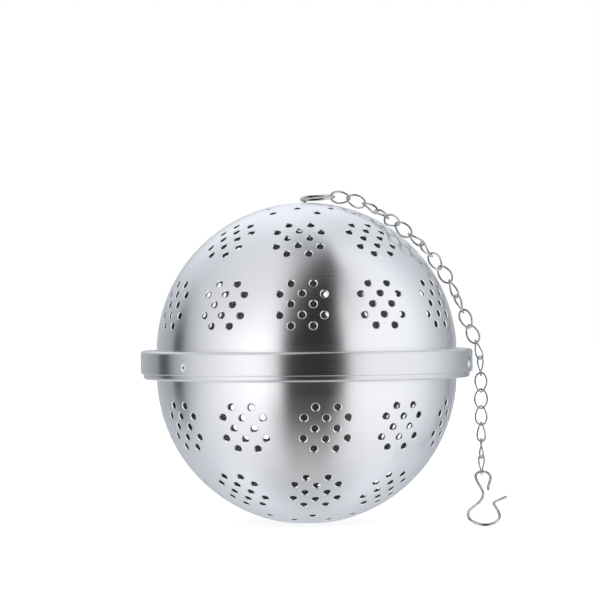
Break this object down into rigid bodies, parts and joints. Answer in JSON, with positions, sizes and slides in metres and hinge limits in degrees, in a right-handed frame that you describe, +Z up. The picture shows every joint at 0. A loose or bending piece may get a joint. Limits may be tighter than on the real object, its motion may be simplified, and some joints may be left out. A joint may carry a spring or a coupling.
{
  "type": "tea infuser",
  "caption": "Perforated stainless steel ball tea infuser whose upper and lower halves close with a twist lock, with a bail, a twisted link chain and a cup hook.",
  "frame": {"origin": "centre of the flat foot that the ball stands on", "axes": "+Z up through the pole where the bail turns, -Y is the front, and the chain hangs on the +X side"},
  "size_m": [0.1013, 0.093, 0.0926],
  "materials": {
    "shell_steel": "satin stainless sheet, finely brushed round the ball",
    "wire_steel": "bright drawn stainless wire"
  },
  "bodies": {
    "bowl": {"lower_bowl": "shell_steel"},
    "cap": {"upper_dome": "shell_steel"},
    "bail": {"hanging_bail": "wire_steel"},
    "chain_link_01": {"chain_link_01": "wire_steel"},
    "chain_link_02": {"chain_link_02": "wire_steel"},
    "chain_link_03": {"chain_link_03": "wire_steel"},
    "chain_link_04": {"chain_link_04": "wire_steel"},
    "chain_link_05": {"chain_link_05": "wire_steel"},
    "chain_link_06": {"chain_link_06": "wire_steel"},
    "chain_link_07": {"chain_link_07": "wire_steel"},
    "chain_link_08": {"chain_link_08": "wire_steel"},
    "chain_link_09": {"chain_link_09": "wire_steel"},
    "chain_link_10": {"chain_link_10": "wire_steel"},
    "chain_link_11": {"chain_link_11": "wire_steel"},
    "chain_link_12": {"chain_link_12": "wire_steel"},
    "chain_link_13": {"chain_link_13": "wire_steel"},
    "chain_link_14": {"chain_link_14": "wire_steel"},
    "chain_link_15": {"chain_link_15": "wire_steel"},
    "chain_link_16": {"chain_link_16": "wire_steel"},
    "chain_link_17": {"chain_link_17": "wire_steel"},
    "chain_link_18": {"chain_link_18": "wire_steel"},
    "chain_link_19": {"chain_link_19": "wire_steel"},
    "chain_link_20": {"chain_link_20": "wire_steel"},
    "chain_link_21": {"chain_link_21": "wire_steel"},
    "chain_link_22": {"chain_link_22": "wire_steel"},
    "hook": {"cup_hook": "wire_steel"}
  },
  "joints": [
    {"name": "cap_lift", "type": "slide", "parent": "bowl", "child": "cap", "axis": [0, 0, 1], "range_m": [0, 0.1]},
    {"name": "bail_swivel", "type": "hinge", "parent": "cap", "child": "bail", "pos_m": [0, 0, 0.08932], "axis": [0, 0, 1], "continuous": true},
    {"name": "link_01_swing", "type": "hinge", "parent": "bail", "child": "chain_link_01", "pos_m": [0.0075, 0, 0.09095], "axis": [0.044, -0.999, -0.0076], "range_deg": [0, 20]},
    {"name": "link_02_swing", "type": "hinge", "parent": "chain_link_01", "child": "chain_link_02", "pos_m": [0.01208, 0.0002, 0.09053], "axis": [0.2328, 0.0054, 0.9725], "range_deg": [-20, 20]},
    {"name": "link_03_swing", "type": "hinge", "parent": "chain_link_02", "child": "chain_link_03", "pos_m": [0.01634, -0.0002, 0.08883], "axis": [0.2617, 0.9601, -0.0983], "range_deg": [-20, 0]},
    {"name": "link_04_swing", "type": "hinge", "parent": "chain_link_03", "child": "chain_link_04", "pos_m": [0.01993, -0.00231, 0.08686], "axis": [-0.4808, 0.0787, -0.8733], "range_deg": [-20, 20]},
    {"name": "link_05_swing", "type": "hinge", "parent": "chain_link_04", "child": "chain_link_05", "pos_m": [0.02256, -0.00556, 0.08493], "axis": [-0.6355, -0.7216, 0.2746], "range_deg": [0, 20]},
    {"name": "link_06_swing", "type": "hinge", "parent": "chain_link_05", "child": "chain_link_06", "pos_m": [0.0253, -0.00859, 0.08278], "axis": [0.5349, -0.1702, 0.8276], "range_deg": [-20, 20]},
    {"name": "link_07_swing", "type": "hinge", "parent": "chain_link_06", "child": "chain_link_07", "pos_m": [0.02883, -0.0097, 0.08003], "axis": [0.0925, 0.9739, 0.2072], "range_deg": [-20, 0]},
    {"name": "link_08_swing", "type": "hinge", "parent": "chain_link_07", "child": "chain_link_08", "pos_m": [0.03213, -0.00806, 0.07725], "axis": [-0.7373, 0.1693, -0.654], "range_deg": [-20, 20]},
    {"name": "link_09_swing", "type": "hinge", "parent": "chain_link_08", "child": "chain_link_09", "pos_m": [0.03482, -0.00579, 0.07428], "axis": [0.1619, -0.901, -0.4024], "range_deg": [0, 20]},
    {"name": "link_10_swing", "type": "hinge", "parent": "chain_link_09", "child": "chain_link_10", "pos_m": [0.03746, -0.00424, 0.07083], "axis": [0.8203, -0.1036, 0.5625], "range_deg": [-20, 20]},
    {"name": "link_11_swing", "type": "hinge", "parent": "chain_link_10", "child": "chain_link_11", "pos_m": [0.04003, -0.00398, 0.06702], "axis": [0.0756, 0.996, 0.0478], "range_deg": [-20, 0]},
    {"name": "link_12_swing", "type": "hinge", "parent": "chain_link_11", "child": "chain_link_12", "pos_m": [0.04191, -0.00419, 0.06281], "axis": [-0.9139, 0.0908, -0.3956], "range_deg": [-20, 20]},
    {"name": "link_13_swing", "type": "hinge", "parent": "chain_link_12", "child": "chain_link_13", "pos_m": [0.04365, -0.00444, 0.05856], "axis": [-0.1018, -0.9948, 0.0029], "range_deg": [0, 20]},
    {"name": "link_14_swing", "type": "hinge", "parent": "chain_link_13", "child": "chain_link_14", "pos_m": [0.04542, -0.00457, 0.05431], "axis": [0.9162, -0.0975, 0.3887], "range_deg": [-20, 20]},
    {"name": "link_15_swing", "type": "hinge", "parent": "chain_link_14", "child": "chain_link_15", "pos_m": [0.04723, -0.00461, 0.05008], "axis": [0.0953, 0.995, 0.0295], "range_deg": [-20, 0]},
    {"name": "link_16_swing", "type": "hinge", "parent": "chain_link_15", "child": "chain_link_16", "pos_m": [0.04838, -0.0046, 0.04562], "axis": [-0.9851, 0.0957, -0.1429], "range_deg": [-20, 20]},
    {"name": "link_17_swing", "type": "hinge", "parent": "chain_link_16", "child": "chain_link_17", "pos_m": [0.04854, -0.0046, 0.04102], "axis": [-0.0943, -0.9955, -0.0016], "range_deg": [0, 20]},
    {"name": "link_18_swing", "type": "hinge", "parent": "chain_link_17", "child": "chain_link_18", "pos_m": [0.04854, -0.0046, 0.03641], "axis": [0.9955, -0.0943, -0.004], "range_deg": [-20, 20]},
    {"name": "link_19_swing", "type": "hinge", "parent": "chain_link_18", "child": "chain_link_19", "pos_m": [0.0485, -0.0046, 0.03181], "axis": [0.0944, 0.9955, -0.0005], "range_deg": [-20, 0]},
    {"name": "link_20_swing", "type": "hinge", "parent": "chain_link_19", "child": "chain_link_20", "pos_m": [0.0485, -0.0046, 0.0272], "axis": [-0.9955, 0.0944, 0.0006], "range_deg": [-20, 20]},
    {"name": "link_21_swing", "type": "hinge", "parent": "chain_link_20", "child": "chain_link_21", "pos_m": [0.0485, -0.0046, 0.02258], "axis": [-0.0944, -0.9955, 0], "range_deg": [0, 20]},
    {"name": "link_22_swing", "type": "hinge", "parent": "chain_link_21", "child": "chain_link_22", "pos_m": [0.0485, -0.0046, 0.01798], "axis": [0.9955, -0.0944, 0], "range_deg": [-20, 20]},
    {"name": "hook_swing", "type": "hinge", "parent": "chain_link_22", "child": "hook", "pos_m": [0.0485, -0.0046, 0.01387], "axis": [1, 0, 0], "range_deg": [-10, 54]}
  ]
}
